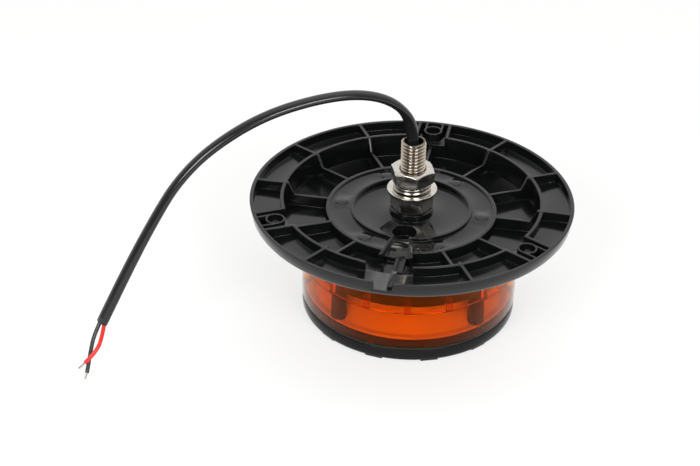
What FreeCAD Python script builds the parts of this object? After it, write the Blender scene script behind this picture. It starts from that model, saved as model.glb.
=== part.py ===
import FreeCAD, Part
import math
import os

# Low-profile LED warning beacon, resting on its cap with the mounting side up.
# Units are millimetres.  Origin: centre of the resting face, +Z up along the stud.
# The cable channel of the base points along -Y.

# ---------------------------------------------------------------- driving sizes
# base moulding: radii
RIM_R = 77.5
RIM_LOW_R = 76.6
RIM_WALL = 1.8
OUTER_RING_R = 62.9
OUTER_RING_WALL = 1.6
MID_RING_R = 41.0
MID_RING_WALL = 2.0
INNER_RING_R = 29.3
INNER_RING_WALL = 1.8
PLINTH_R = 10.6

# base moulding: heights
RIM_Z = 60.0
RIM_LOW_Z = 53.8
RIM_EDGE = 0.9
MID_RING_Z = 53.8
INNER_RING_Z = 54.4
PLINTH_Z = 54.8
OUTER_FLOOR_Z = 55.4
OUTER_SKIN_Z = 53.4
STEP_FLOOR_Z = 52.7
CENTRE_FLOOR_Z = 51.6
CENTRE_SKIN_Z = 49.0
DEEP_FLOOR_Z = 48.2
DEEP_SKIN_Z = 46.0
CHANNEL_FLOOR_Z = 51.0

# base moulding: ribs, bosses and channel
SECTORS = 12
RIB_T = 1.5
BOSS_SECTORS = (0, 4, 8)
CHANNEL_SECTOR = 6
BACK_ANGLE = 90.0
BOLT_CIRCLE_R = 68.0
BOSS_R = 4.6
BOLT_HOLE_R = 3.7
BOSS_WALL_OFFSET = 4.0
BOSS_WALL_T = 1.0
FLANK_OFFSET = 7.75
RING_GAP_HALF = 10.8
RING_GAP_R = 62.0
NOTCH_HALF = 4.5
NOTCH_Z = 55.8
FIN_REACH = 4.2
PIN_MARK_R = 3.1
PIN_MARK_CIRCLE_R = 34.1
PIN_MARK_H = 0.35
CUP_Y = -19.0
CUP_R = 5.8
CUP_WALL = 1.6
CUP_FLOOR_Z = 46.0
CUP_SKIN_Z = 44.4

# skirt and posts that carry the lamp
SKIRT_R = 49.4
SKIRT_WALL = 2.0
SKIRT_Z = 30.1
SLOT_W = 3.9
SLOT_IN_R = 48.7
SLOT_TOP_Z = 37.0
LAMP_ANGLE = 8.4
POST_COUNT = 4
POST_CIRCLE_R = 45.0
POST_R = 3.6
STANDOFF_CIRCLE_R = 31.0
STANDOFF_R = 3.4
M3_PILOT_R = 1.5
M3_CLEAR_R = 1.8
M3_SHANK_R = 1.45
M3_HEAD_R = 2.8
M3_HEAD_H = 1.6

# stud and its hardware, M12 x 1.75
STUD_R = 6.0
STUD_ROOT_R = 5.1
STUD_BORE_R = 4.7
STUD_TOP_Z = 90.2
STUD_LOW_Z = 46.2
STUD_FLANGE_R = 9.6
STUD_FLANGE_T = 2.0
PITCH = 1.75
THREAD_LOW_Z = 55.6
CREST = 0.25
FLANK = 0.65
STUD_HOLE_R = 6.3
BASE_NUT_AF = 18.0
BASE_NUT_TOP_Z = 63.4
BASE_NUT_ANGLE = 6.7
NUT_BORE_R = 6.05
FLAT_WASHER_R = 12.0
FLAT_WASHER_HOLE_R = 6.5
FLAT_WASHER_T = 1.6
SPRING_WASHER_R = 9.1
SPRING_WASHER_HOLE_R = 6.35
SPRING_WASHER_T = 2.5
SPRING_WASHER_RISE = 1.6
SPRING_WASHER_TURN = 348.0
NUT_AF = 19.0
NUT_H = 7.0
NUT_ANGLE = 50.7
NUT_COUNTERSINK_R = 6.8

# lens and cap
LENS_R = 52.5
LENS_WALL = 2.5
LENS_LOW_Z = 8.0
LENS_TOP_Z = 44.8
CLIP_COUNT = 16
CLIP_W = 3.2
CLIP_IN_R = 48.9
CLIP_LOW_Z = 26.4
CLIP_TOP_Z = 36.5
BEAD_IN_R = 49.3
BEAD_TOP_Z = 27.0
CAP_R = 52.3
CAP_EDGE = 1.6
CAP_SKIN_Z = 0.8
CAP_FLOOR_Z = 3.2
CAP_SHOULDER_Z = 7.2
SPIGOT_R = 49.6
SPIGOT_WALL = 3.1
FLANGE_LOW_Z = 10.9
FLANGE_TOP_Z = 12.3
PAD_COUNT = 12
PAD_ANGLE = 21.0
PAD_IN_R = 42.0
PAD_OUT_R = 51.1
PAD_W = 8.4
CAP_BOSS_R = 4.2
CAP_SCREW_RECESS_R = 3.2
CAP_SCREW_SEAT_Z = 2.6
CAP_SCREW_TIP_Z = 19.0

# light unit and electronics
CONE_TOP_R = 27.0
CONE_TOP_Z = 29.5
CONE_LOW_R = 45.0
CONE_WALL = 1.4
FLANGE_R = 47.5
LED_BOARD_IN_R = 24.0
LED_BOARD_R = 46.0
LED_BOARD_Z = 33.0
BOARD_T = 1.6
LED_COUNT = 12
LED_CIRCLE_R = 36.0
LED_SIDE = 5.0
LED_H = 0.8
LED_DOME_R = 1.9
PLATE_IN_R = 10.0
PLATE_R = 45.5
PLATE_T = 3.0
DRIVER_R = 36.5
DRIVER_Z = 39.4
POST_NOTCH_R = 4.3
LINK_Y = 26.2
LINK_PIN_X = 2.54
LINK_PIN_R = 0.4
LINK_L = 7.6
LINK_W = 2.5
LINK_GAP = 0.3

# cable
CABLE_D = 4.8
CABLE_AZIMUTH = 210.73
POTTING_LOW_Z = 70.0
POTTING_TOP_Z = 82.0
POTTING_R = 4.65
LEAD_R = 0.9
LEAD_X = 1.9
CORE_D = 1.9
TIP_R = 0.45
BEND_SHARE = 0.45

# cable route as distance out from the stud axis and height
CABLE_ROUTE = (
    (0.0, POTTING_TOP_Z),
    (0.2, 98.0),
    (8.9, 111.6),
    (25.6, 119.0),
    (47.5, 119.8),
    (74.3, 115.0),
    (98.6, 102.6),
    (114.0, 88.4),
    (124.4, 72.6),
    (139.0, 47.0),
    (152.8, 20.0),
)

# stripped cores: each leaves the jacket's end, beside the cable's centre line
CORE_SIDE = 1.0
CORE_SUNK = 1.0
TIP_SUNK = 0.5
CORE_RED_BENDS = (
    (-129.6, -83.1, 16.7),
    (-129.8, -90.8, 13.0),
    (-135.1, -93.6, 7.6),
)
TIP_RED_END = (-137.8, -94.9, 4.9)
CORE_BLACK_BENDS = (
    (-133.9, -82.8, 15.8),
    (-134.1, -88.0, 10.5),
    (-133.9, -95.3, 3.2),
)
TIP_BLACK_END = (-134.2, -97.7, 1.4)

Z_AXIS = FreeCAD.Vector(0, 0, 1)
ORIGIN = FreeCAD.Vector(0, 0, 0)


# ---------------------------------------------------------------- helpers
def polar(radius, angle, z=0.0):
    """Point at a radius and an angle in degrees."""
    a = math.radians(angle)
    return FreeCAD.Vector(radius * math.cos(a), radius * math.sin(a), z)


def cyl(radius, z0, z1, at=ORIGIN):
    """Upright cylinder between two heights."""
    base = FreeCAD.Vector(at.x, at.y, z0)
    return Part.makeCylinder(radius, z1 - z0, base, Z_AXIS)


def tube(outer, inner, z0, z1, at=ORIGIN):
    """Upright tube between two heights."""
    return cyl(outer, z0, z1, at).cut(cyl(inner, z0 - 1, z1 + 1, at))


def spun(points):
    """Body of revolution about Z from (radius, height) points."""
    loop = [FreeCAD.Vector(r, 0, z) for r, z in points]
    face = Part.Face(Part.makePolygon(loop + [loop[0]]))
    return face.revolve(ORIGIN, Z_AXIS, 360)


def turned(shape, angle):
    """Copy of a shape turned about Z."""
    copy = shape.copy()
    copy.rotate(ORIGIN, Z_AXIS, angle)
    return copy


def bar(r0, r1, z0, z1, thickness, offset=0.0):
    """Upright plate lying along +X, from radius r0 to r1, shifted sideways."""
    corner = FreeCAD.Vector(r0, offset - thickness / 2, z0)
    return Part.makeBox(r1 - r0, thickness, z1 - z0, corner)


def plate(points, thickness):
    """Upright plate along +X with an outline of (radius, height) points."""
    loop = [FreeCAD.Vector(r, -thickness / 2, z) for r, z in points]
    face = Part.Face(Part.makePolygon(loop + [loop[0]]))
    return face.extrude(FreeCAD.Vector(0, thickness, 0))


def slab(points, z0, z1):
    """Flat prism with a plan outline of (x, y) points."""
    loop = [FreeCAD.Vector(x, y, z0) for x, y in points]
    face = Part.Face(Part.makePolygon(loop + [loop[0]]))
    return face.extrude(FreeCAD.Vector(0, 0, z1 - z0))


def ring_angles(count, start):
    """Evenly spaced angles in degrees."""
    return [start + 360.0 * i / count for i in range(count)]


def hexagon(across_flats, z0, z1, angle, bore, sink=None):
    """Chamfered hexagon nut with a plain bore and optional countersinks."""
    corner = across_flats / math.sqrt(3)
    plan = []
    for a in ring_angles(6, angle):
        p = polar(corner, a)
        plan.append((p.x, p.y))
    body = slab(plan, z0, z1)
    face_r = across_flats / 2 * 0.97
    drop = (corner - face_r) * math.tan(math.radians(30))
    outline = [(0, z0), (face_r, z0), (corner, z0 + drop), (corner, z1 - drop), (face_r, z1), (0, z1)]
    body = body.common(spun(outline))
    body = body.cut(cyl(bore, z0 - 1, z1 + 1))
    if sink:
        depth = sink - bore
        top = Part.makeCone(bore, sink, depth, FreeCAD.Vector(0, 0, z1 - depth), Z_AXIS)
        low = Part.makeCone(sink, bore, depth, FreeCAD.Vector(0, 0, z0), Z_AXIS)
        body = body.cut(top).cut(low)
    return body


def screw(at, seat_z, tip_z):
    """Pan-head M3 screw driven upwards into its hole."""
    head = cyl(M3_HEAD_R, seat_z - M3_HEAD_H, seat_z, at)
    head = head.makeChamfer(0.4, [head.Edges[2]])
    shank = cyl(M3_SHANK_R, seat_z - 0.2, tip_z, at)
    slot = cyl(1.1, seat_z - M3_HEAD_H - 1, seat_z - M3_HEAD_H + 0.9, at)
    return head.fuse(shank).cut(slot)


def run_and_arc(pts, name):
    """Wire of straight runs joined by tangent arcs; its radii are printed."""
    edges = []
    radii = []
    start = pts[0]
    for i in range(1, len(pts) - 1):
        into = pts[i] - pts[i - 1]
        out = pts[i + 1] - pts[i]
        reach = BEND_SHARE * min(into.Length, out.Length)
        turn = into.getAngle(out)
        radius = reach / math.tan(turn / 2)
        into.normalize()
        out.normalize()
        a = pts[i] - into * reach
        b = pts[i] + out * reach
        inward = out - into
        inward.normalize()
        gap = radius / math.cos(turn / 2) - radius
        middle = pts[i] + inward * gap
        edges.append(Part.LineSegment(start, a).toShape())
        edges.append(Part.Arc(a, middle, b).toShape())
        radii.append(radius)
        start = b
    edges.append(Part.LineSegment(start, pts[-1]).toShape())
    print(name, "bend radii mm:", [round(r, 1) for r in radii])
    return Part.Wire(edges)


def cord(points, diameter, name):
    """Round cord swept along a run-and-arc route, with its volume checked."""
    path = run_and_arc(points, name)
    heading = points[1] - points[0]
    section = Part.Wire([Part.makeCircle(diameter / 2, points[0], heading)])
    body = path.makePipeShell([section], True, True)
    expected = math.pi * diameter ** 2 / 4 * path.Length
    share = body.Volume / expected
    print(name, "length mm:", round(path.Length, 1), "volume share:", round(share, 4))
    return body


def union(shapes):
    """One solid from many overlapping ones."""
    first = shapes[0]
    return first.multiFuse(shapes[1:]).removeSplitter()


# ---------------------------------------------------------------- base moulding
def make_base():
    ring_in = OUTER_RING_R - OUTER_RING_WALL
    mid_in = MID_RING_R - MID_RING_WALL
    inner_in = INNER_RING_R - INNER_RING_WALL
    rim_in = RIM_R - RIM_WALL
    skirt_in = SKIRT_R - SKIRT_WALL
    profile = [
        (STUD_HOLE_R, PLINTH_Z), (PLINTH_R, PLINTH_Z), (PLINTH_R, CENTRE_FLOOR_Z),
        (inner_in, CENTRE_FLOOR_Z), (inner_in, INNER_RING_Z), (INNER_RING_R, INNER_RING_Z),
        (INNER_RING_R, STEP_FLOOR_Z), (mid_in, STEP_FLOOR_Z), (mid_in, MID_RING_Z),
        (MID_RING_R, MID_RING_Z), (MID_RING_R, DEEP_FLOOR_Z), (ring_in, DEEP_FLOOR_Z),
        (ring_in, RIM_Z), (OUTER_RING_R, RIM_Z), (OUTER_RING_R, OUTER_FLOOR_Z),
        (rim_in, OUTER_FLOOR_Z), (rim_in, RIM_Z), (RIM_R, RIM_Z),
        (RIM_LOW_R, RIM_LOW_Z + RIM_EDGE), (RIM_LOW_R - RIM_EDGE, OUTER_SKIN_Z),
        (OUTER_RING_R + 2.4, OUTER_SKIN_Z), (OUTER_RING_R + 0.6, DEEP_SKIN_Z),
        (SKIRT_R, DEEP_SKIN_Z), (SKIRT_R, SKIRT_Z), (skirt_in, SKIRT_Z),
        (skirt_in, DEEP_SKIN_Z), (MID_RING_R + 1.6, DEEP_SKIN_Z),
        (MID_RING_R - 2.4, CENTRE_SKIN_Z), (STUD_HOLE_R, CENTRE_SKIN_Z),
    ]
    body = spun(profile)

    # gaps in the outer ring, before the ribs go in
    depth = 3.0
    for sector in BOSS_SECTORS:
        gap = bar(ring_in - depth / 2, OUTER_RING_R + depth / 2, OUTER_FLOOR_Z, RIM_Z + 1, 2 * FLANK_OFFSET - RIB_T)
        body = body.cut(turned(gap, BACK_ANGLE + 30 * sector))
    gap = bar(RING_GAP_R - 4.0, RING_GAP_R + 1.6, OUTER_FLOOR_Z, RIM_Z + 1, 2 * RING_GAP_HALF)
    body = body.cut(turned(gap, -90))

    # shallow slots outside the skirt that the lens clips rise into
    slot = bar(SLOT_IN_R, SKIRT_R + 0.5, SKIRT_Z - 1, SLOT_TOP_Z, SLOT_W)
    for a in ring_angles(CLIP_COUNT, LAMP_ANGLE):
        body = body.cut(turned(slot, a))

    parts = [body]
    for sector in range(SECTORS):
        angle = BACK_ANGLE + 360.0 / SECTORS * sector
        has_boss = sector in BOSS_SECTORS
        if sector == CHANNEL_SECTOR:
            continue
        low_rib = bar(MID_RING_R - 0.5, ring_in + 0.4, DEEP_FLOOR_Z - 0.4, MID_RING_Z, RIB_T)
        parts.append(turned(low_rib, angle))
        if has_boss:
            continue
        high_rib = bar(OUTER_RING_R - 0.4, rim_in + 0.4, OUTER_FLOOR_Z - 0.4, RIM_Z, RIB_T)
        fin = plate([(ring_in - FIN_REACH, MID_RING_Z - 0.4), (ring_in - 1.0, RIM_Z),
                     (ring_in + 0.4, RIM_Z), (ring_in + 0.4, MID_RING_Z - 0.4)], RIB_T)
        parts.append(turned(high_rib, angle))
        parts.append(turned(fin, angle))

    # bolt bosses with their side walls and flanking ribs
    for sector in BOSS_SECTORS:
        angle = BACK_ANGLE + 30 * sector
        boss_low = OUTER_SKIN_Z - 0.8
        parts.append(cyl(BOSS_R, boss_low, RIM_Z, polar(BOLT_CIRCLE_R, angle)))
        for side in (-1, 1):
            wall = bar(BOLT_CIRCLE_R, rim_in + 0.3, OUTER_FLOOR_Z - 0.4, RIM_Z, BOSS_WALL_T, side * BOSS_WALL_OFFSET)
            flank = bar(ring_in - 0.2, rim_in - 0.1, OUTER_FLOOR_Z - 0.4, RIM_Z, RIB_T, side * FLANK_OFFSET)
            parts.append(turned(wall, angle))
            parts.append(turned(flank, angle))

    # cable channel walls, cable cup, guide rib and notch rib
    wall_in = -(INNER_RING_R - 1.0)
    wall_out = -(MID_RING_R + 3.2)
    for side in (-1, 1):
        plan = [(side * 3.5, wall_in), (side * 5.1, wall_in), (side * 7.9, wall_out), (side * 6.3, wall_out)]
        parts.append(slab(plan, CHANNEL_FLOOR_Z, MID_RING_Z))
    end_low = DEEP_FLOOR_Z - 0.4
    for side in (-1, 1):
        plan = [(side * 5.7, -MID_RING_R + 0.3), (side * 7.3, -MID_RING_R + 0.3),
                (side * 7.9, wall_out), (side * 6.3, wall_out)]
        parts.append(slab(plan, end_low, CHANNEL_FLOOR_Z + 0.5))
    parts.append(slab([(-0.3, -MID_RING_R + 0.6), (4.6, -MID_RING_R + 0.6), (4.6, -53.0), (-0.3, -53.0)],
                      end_low, CHANNEL_FLOOR_Z - 0.2))
    parts.append(slab([(1.1, -60.9), (3.7, -60.9), (3.7, -rim_in - 0.2), (1.1, -rim_in - 0.2)],
                      OUTER_FLOOR_Z - 0.4, OUTER_FLOOR_Z + 1.6))
    parts.append(cyl(CUP_R + CUP_WALL, CUP_SKIN_Z, CENTRE_SKIN_Z + 0.5, FreeCAD.Vector(0, CUP_Y, 0)))

    # ejector-pin marks on the stepped floor
    for a in ring_angles(6, 60):
        mark = cyl(PIN_MARK_R, STEP_FLOOR_Z - 0.3, STEP_FLOOR_Z + PIN_MARK_H, polar(PIN_MARK_CIRCLE_R, a))
        parts.append(mark)

    # lamp posts and board standoffs
    for a in ring_angles(POST_COUNT, LAMP_ANGLE + 45):
        parts.append(cyl(POST_R, FLANGE_TOP_Z, DEEP_SKIN_Z + 1.2, polar(POST_CIRCLE_R, a)))
    plate_top = LED_BOARD_Z + BOARD_T + PLATE_T
    for a in ring_angles(3, 30):
        parts.append(cyl(STANDOFF_R, plate_top, CENTRE_SKIN_Z + 0.5, polar(STANDOFF_CIRCLE_R, a)))
    for a in ring_angles(3, 90):
        parts.append(cyl(STANDOFF_R, DRIVER_Z + BOARD_T, CENTRE_SKIN_Z + 0.5, polar(STANDOFF_CIRCLE_R, a)))
    body = union(parts)

    # holes and cut-outs
    cuts = []
    for sector in BOSS_SECTORS:
        cuts.append(cyl(BOLT_HOLE_R, OUTER_SKIN_Z - 4, RIM_Z + 2, polar(BOLT_CIRCLE_R, BACK_ANGLE + 30 * sector)))
    cuts.append(cyl(CUP_R, CUP_FLOOR_Z, RIM_Z, FreeCAD.Vector(0, CUP_Y, 0)))
    cuts.append(slab([(-3.5, CUP_Y - 2), (3.5, CUP_Y - 2), (3.5, wall_in), (6.3, wall_out),
                      (6.3, wall_out - 0.6), (-6.3, wall_out - 0.6), (-6.3, wall_out), (-3.5, wall_in)],
                     CHANNEL_FLOOR_Z, RIM_Z))
    cuts.append(slab([(-NOTCH_HALF, -73.8), (NOTCH_HALF, -73.8), (NOTCH_HALF, -79.0), (-NOTCH_HALF, -79.0)],
                     NOTCH_Z, RIM_Z + 1))
    for a in ring_angles(POST_COUNT, LAMP_ANGLE + 45):
        cuts.append(cyl(M3_PILOT_R, FLANGE_TOP_Z - 1, CAP_SCREW_TIP_Z + 1.0, polar(POST_CIRCLE_R, a)))
    pilot_top = CENTRE_SKIN_Z - 1.0
    for a in ring_angles(6, 30):
        cuts.append(cyl(M3_PILOT_R, plate_top - 2, pilot_top, polar(STANDOFF_CIRCLE_R, a)))
    for cut in cuts:
        body = body.cut(cut)
    return body.removeSplitter()


# ---------------------------------------------------------------- stud and hardware
def make_stud():
    flange_top = STUD_LOW_Z + STUD_FLANGE_T
    profile = [(STUD_BORE_R, STUD_LOW_Z), (STUD_FLANGE_R, STUD_LOW_Z), (STUD_FLANGE_R, flange_top),
               (STUD_R, flange_top), (STUD_R, THREAD_LOW_Z)]
    z = THREAD_LOW_Z
    while z + PITCH < STUD_TOP_Z - 0.6:
        profile.append((STUD_R, z + CREST))
        profile.append((STUD_ROOT_R, z + CREST + FLANK))
        profile.append((STUD_ROOT_R, z + PITCH - FLANK))
        profile.append((STUD_R, z + PITCH))
        z += PITCH
    profile.append((STUD_R, STUD_TOP_Z - 0.5))
    profile.append((STUD_R - 0.5, STUD_TOP_Z))
    profile.append((STUD_BORE_R, STUD_TOP_Z))
    return spun(profile)


def make_stud_gasket():
    return tube(STUD_FLANGE_R - 0.2, STUD_R + 0.3, STUD_LOW_Z + STUD_FLANGE_T, CENTRE_SKIN_Z)


def make_base_nut():
    return hexagon(BASE_NUT_AF, PLINTH_Z, BASE_NUT_TOP_Z, BASE_NUT_ANGLE, NUT_BORE_R)


def make_flat_washer():
    return tube(FLAT_WASHER_R, FLAT_WASHER_HOLE_R, BASE_NUT_TOP_Z, BASE_NUT_TOP_Z + FLAT_WASHER_T)


def make_spring_washer():
    """Split ring whose two ends stand one above the other."""
    low = BASE_NUT_TOP_Z + FLAT_WASHER_T
    mid_r = (SPRING_WASHER_R + SPRING_WASHER_HOLE_R) / 2
    helix_pitch = SPRING_WASHER_RISE * 360 / SPRING_WASHER_TURN
    helix = Part.makeHelix(helix_pitch, SPRING_WASHER_RISE, mid_r)
    helix.translate(FreeCAD.Vector(0, 0, low))
    corners = [(SPRING_WASHER_HOLE_R, low), (SPRING_WASHER_R, low),
               (SPRING_WASHER_R, low + SPRING_WASHER_T), (SPRING_WASHER_HOLE_R, low + SPRING_WASHER_T)]
    loop = [FreeCAD.Vector(r, 0, z) for r, z in corners]
    section = Part.makePolygon(loop + [loop[0]])
    ring = Part.Wire(helix).makePipeShell([section], True, True)
    return turned(ring, 120)


def make_mounting_nut():
    low = BASE_NUT_TOP_Z + FLAT_WASHER_T + SPRING_WASHER_T + SPRING_WASHER_RISE
    return hexagon(NUT_AF, low, low + NUT_H, NUT_ANGLE, NUT_BORE_R, NUT_COUNTERSINK_R)


# ---------------------------------------------------------------- lens and cap
def make_lens():
    """Lens ring with the bead inside it and the clips that rise into the slots of the base's skirt."""
    inner = LENS_R - LENS_WALL
    ring = spun([(inner, LENS_LOW_Z), (LENS_R - 0.3, LENS_LOW_Z), (LENS_R, LENS_LOW_Z + 0.3),
                 (LENS_R, LENS_TOP_Z - 0.3), (LENS_R - 0.3, LENS_TOP_Z), (inner, LENS_TOP_Z)])
    bead = tube(inner + 0.4, BEAD_IN_R, CLIP_LOW_Z, BEAD_TOP_Z)
    clip = bar(CLIP_IN_R, inner + 0.4, CLIP_LOW_Z, CLIP_TOP_Z, CLIP_W)
    return union([ring, bead] + [turned(clip, a) for a in ring_angles(CLIP_COUNT, LAMP_ANGLE)])


def make_lens_gasket():
    return tube(LENS_R - 0.2, SKIRT_R + 0.5, LENS_TOP_Z, DEEP_SKIN_Z)


def make_cap_gasket():
    return tube(CAP_R - 0.3, SPIGOT_R + 0.3, CAP_SHOULDER_Z, LENS_LOW_Z)


def make_cap():
    spigot_in = SPIGOT_R - SPIGOT_WALL
    body = spun([(0, CAP_SKIN_Z), (CAP_R - CAP_EDGE, CAP_SKIN_Z), (CAP_R - 0.4, CAP_SKIN_Z + 0.5),
                 (CAP_R, CAP_SKIN_Z + CAP_EDGE), (CAP_R, CAP_SHOULDER_Z), (SPIGOT_R, CAP_SHOULDER_Z),
                 (SPIGOT_R, FLANGE_LOW_Z), (spigot_in, FLANGE_LOW_Z), (spigot_in, CAP_FLOOR_Z),
                 (0, CAP_FLOOR_Z)])
    parts = [body]
    for a in ring_angles(PAD_COUNT, PAD_ANGLE):
        parts.append(turned(bar(PAD_IN_R, PAD_OUT_R, 0.0, CAP_SKIN_Z + 0.3, PAD_W), a))
    for a in ring_angles(POST_COUNT, LAMP_ANGLE + 45):
        parts.append(cyl(CAP_BOSS_R, CAP_FLOOR_Z - 0.3, FLANGE_LOW_Z, polar(POST_CIRCLE_R, a)))
    body = union(parts)
    for a in ring_angles(POST_COUNT, LAMP_ANGLE + 45):
        at = polar(POST_CIRCLE_R, a)
        body = body.cut(cyl(M3_CLEAR_R, -1, FLANGE_LOW_Z + 1, at))
        body = body.cut(cyl(CAP_SCREW_RECESS_R, -1, CAP_SCREW_SEAT_Z, at))
    return body


def make_cap_screws():
    return [screw(polar(POST_CIRCLE_R, a), CAP_SCREW_SEAT_Z, CAP_SCREW_TIP_Z)
            for a in ring_angles(POST_COUNT, LAMP_ANGLE + 45)]


# ---------------------------------------------------------------- light unit
def make_reflector():
    slope = CONE_WALL * 1.2
    body = spun([(CONE_TOP_R, CONE_TOP_Z), (CONE_LOW_R, FLANGE_TOP_Z), (FLANGE_R, FLANGE_TOP_Z),
                 (FLANGE_R, FLANGE_LOW_Z), (CONE_LOW_R - slope, FLANGE_LOW_Z),
                 (CONE_TOP_R - slope, CONE_TOP_Z)])
    for a in ring_angles(POST_COUNT, LAMP_ANGLE + 45):
        at = polar(POST_CIRCLE_R, a)
        body = body.cut(cyl(POST_R + 0.3, FLANGE_TOP_Z, CONE_TOP_Z + 1, at))
        body = body.cut(cyl(M3_CLEAR_R, FLANGE_LOW_Z - 1, FLANGE_TOP_Z + 1, at))
    return body


def notched_disc(outer, inner, z0, z1):
    """Annular disc notched around the lamp posts."""
    body = tube(outer, inner, z0, z1)
    for a in ring_angles(POST_COUNT, LAMP_ANGLE + 45):
        body = body.cut(cyl(POST_NOTCH_R, z0 - 1, z1 + 1, polar(POST_CIRCLE_R, a)))
    return body


def make_led_board():
    body = notched_disc(LED_BOARD_R, LED_BOARD_IN_R, LED_BOARD_Z, LED_BOARD_Z + BOARD_T)
    for a in ring_angles(3, 30):
        hole = cyl(M3_CLEAR_R, LED_BOARD_Z - 1, LED_BOARD_Z + BOARD_T + 1, polar(STANDOFF_CIRCLE_R, a))
        body = body.cut(hole)
    return body


def make_leds():
    leds = []
    for a in ring_angles(LED_COUNT, LAMP_ANGLE):
        low = LED_BOARD_Z - LED_H
        package = bar(LED_CIRCLE_R - LED_SIDE / 2, LED_CIRCLE_R + LED_SIDE / 2, low, LED_BOARD_Z, LED_SIDE)
        dome = Part.makeSphere(LED_DOME_R, FreeCAD.Vector(LED_CIRCLE_R, 0, low + 0.2))
        half = dome.common(cyl(LED_DOME_R + 1, low - 3, low + 0.2, FreeCAD.Vector(LED_CIRCLE_R, 0, 0)))
        leds.append(turned(package.fuse(half), a))
    return leds


def make_heat_plate():
    low = LED_BOARD_Z + BOARD_T
    body = notched_disc(PLATE_R, PLATE_IN_R, low, low + PLATE_T)
    for a in ring_angles(3, 30):
        body = body.cut(cyl(M3_CLEAR_R, low - 1, low + PLATE_T + 1, polar(STANDOFF_CIRCLE_R, a)))
    for x in (-LINK_PIN_X, LINK_PIN_X):
        body = body.cut(cyl(LINK_PIN_R + 1.0, low - 1, low + PLATE_T + 1, FreeCAD.Vector(x, LINK_Y, 0)))
    return body


def make_plate_screws():
    return [screw(polar(STANDOFF_CIRCLE_R, a), LED_BOARD_Z, CENTRE_SKIN_Z - 2.5) for a in ring_angles(3, 30)]


# ---------------------------------------------------------------- electronics
def make_driver_board():
    body = cyl(DRIVER_R, DRIVER_Z, DRIVER_Z + BOARD_T)
    for a in ring_angles(3, 30):
        body = body.cut(cyl(STANDOFF_R + 0.5, DRIVER_Z - 1, DRIVER_Z + BOARD_T + 1, polar(STANDOFF_CIRCLE_R, a)))
    for a in ring_angles(3, 90):
        body = body.cut(cyl(M3_CLEAR_R, DRIVER_Z - 1, DRIVER_Z + BOARD_T + 1, polar(STANDOFF_CIRCLE_R, a)))
    return body


def make_driver_screws():
    return [screw(polar(STANDOFF_CIRCLE_R, a), DRIVER_Z, CENTRE_SKIN_Z - 2.5) for a in ring_angles(3, 90)]


def on_board(length, width, height, x, y):
    """Rectangular component standing on the driver board."""
    top = DRIVER_Z + BOARD_T
    return Part.makeBox(length, width, height, FreeCAD.Vector(x - length / 2, y - width / 2, top))


def make_driver_chips():
    return [on_board(6.0, 5.0, 1.6, 0.0, 15.0), on_board(5.0, 6.0, 1.6, -12.0, 17.0),
            on_board(6.5, 6.5, 2.2, 12.0, 19.0), on_board(7.0, 6.0, 2.2, 12.0, -20.0)]


def make_resistors():
    spots = ((-5.0, 22.0), (-1.0, 22.0), (3.0, 22.0), (-16.0, -12.0),
             (-16.0, -16.0), (-12.0, -24.0), (-8.0, -27.0), (5.0, -30.0))
    return [on_board(3.2, 1.6, 0.7, x, y) for x, y in spots]


def make_capacitors():
    top = DRIVER_Z + BOARD_T
    cans = []
    for y in (-5.0, 5.0):
        can = cyl(3.15, top, top + 6.2, FreeCAD.Vector(21.0, y, 0))
        cans.append(can.makeChamfer(0.5, [can.Edges[0]]))
    return cans


def make_inductor():
    top = DRIVER_Z + BOARD_T
    at = FreeCAD.Vector(-21.0, 0, 0)
    base = cyl(5.0, top, top + 1.0, at)
    core = cyl(3.6, top + 0.5, top + 4.5, at)
    cover = cyl(5.0, top + 4.0, top + 5.0, at)
    return base.fuse(core).fuse(cover)


def make_board_link():
    """Pin header that joins the driver board to the LED board."""
    low = LED_BOARD_Z + BOARD_T
    block_low = low + PLATE_T + LINK_GAP
    corner = FreeCAD.Vector(-LINK_L / 2, LINK_Y - LINK_W / 2, block_low)
    body = Part.makeBox(LINK_L, LINK_W, DRIVER_Z - block_low, corner)
    for x in (-LINK_PIN_X, LINK_PIN_X):
        body = body.fuse(cyl(LINK_PIN_R, low, block_low + 0.5, FreeCAD.Vector(x, LINK_Y, 0)))
    return body


# ---------------------------------------------------------------- cable
def make_potting():
    return cyl(POTTING_R, POTTING_LOW_Z, POTTING_TOP_Z)


def make_inner_lead(side):
    return cyl(LEAD_R, DRIVER_Z + BOARD_T, POTTING_LOW_Z, FreeCAD.Vector(side * LEAD_X, 0, 0))


def cable_route():
    """Points of the cable's centre line in the frame of the part."""
    return [polar(out, CABLE_AZIMUTH, z) for out, z in CABLE_ROUTE]


def make_cable():
    return cord(cable_route(), CABLE_D, "cable")


def core_route(side, bends):
    """A core's route, from just inside the jacket to the end of its insulation."""
    before, end = cable_route()[-2:]
    heading = end - before
    heading.normalize()
    across = heading.cross(polar(1.0, CABLE_AZIMUTH - 90))
    start = end + across * (side * CORE_SIDE) - heading * CORE_SUNK
    return [start] + [FreeCAD.Vector(*p) for p in bends]


def make_core(side, bends, name):
    return cord(core_route(side, bends), CORE_D, name)


def make_tip(insulation_end, end):
    """Bare tinned end of a core, started just inside its insulation."""
    a = FreeCAD.Vector(*insulation_end)
    heading = FreeCAD.Vector(*end) - a
    length = heading.Length + TIP_SUNK
    heading.normalize()
    return Part.makeCylinder(TIP_R, length, a - heading * TIP_SUNK, heading)


def export(node, shape):
    """One named STEP file; a list becomes one compound of separate solids."""
    if isinstance(shape, list):
        shape = Part.makeCompound(shape)
    solids = shape.Solids
    print(node, "solids", len(solids), "volume", round(shape.Volume, 1), "valid", shape.isValid())
    if len(solids) == 1:
        shape = solids[0]
    shape.exportStep("parts/" + node + ".step")


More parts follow.
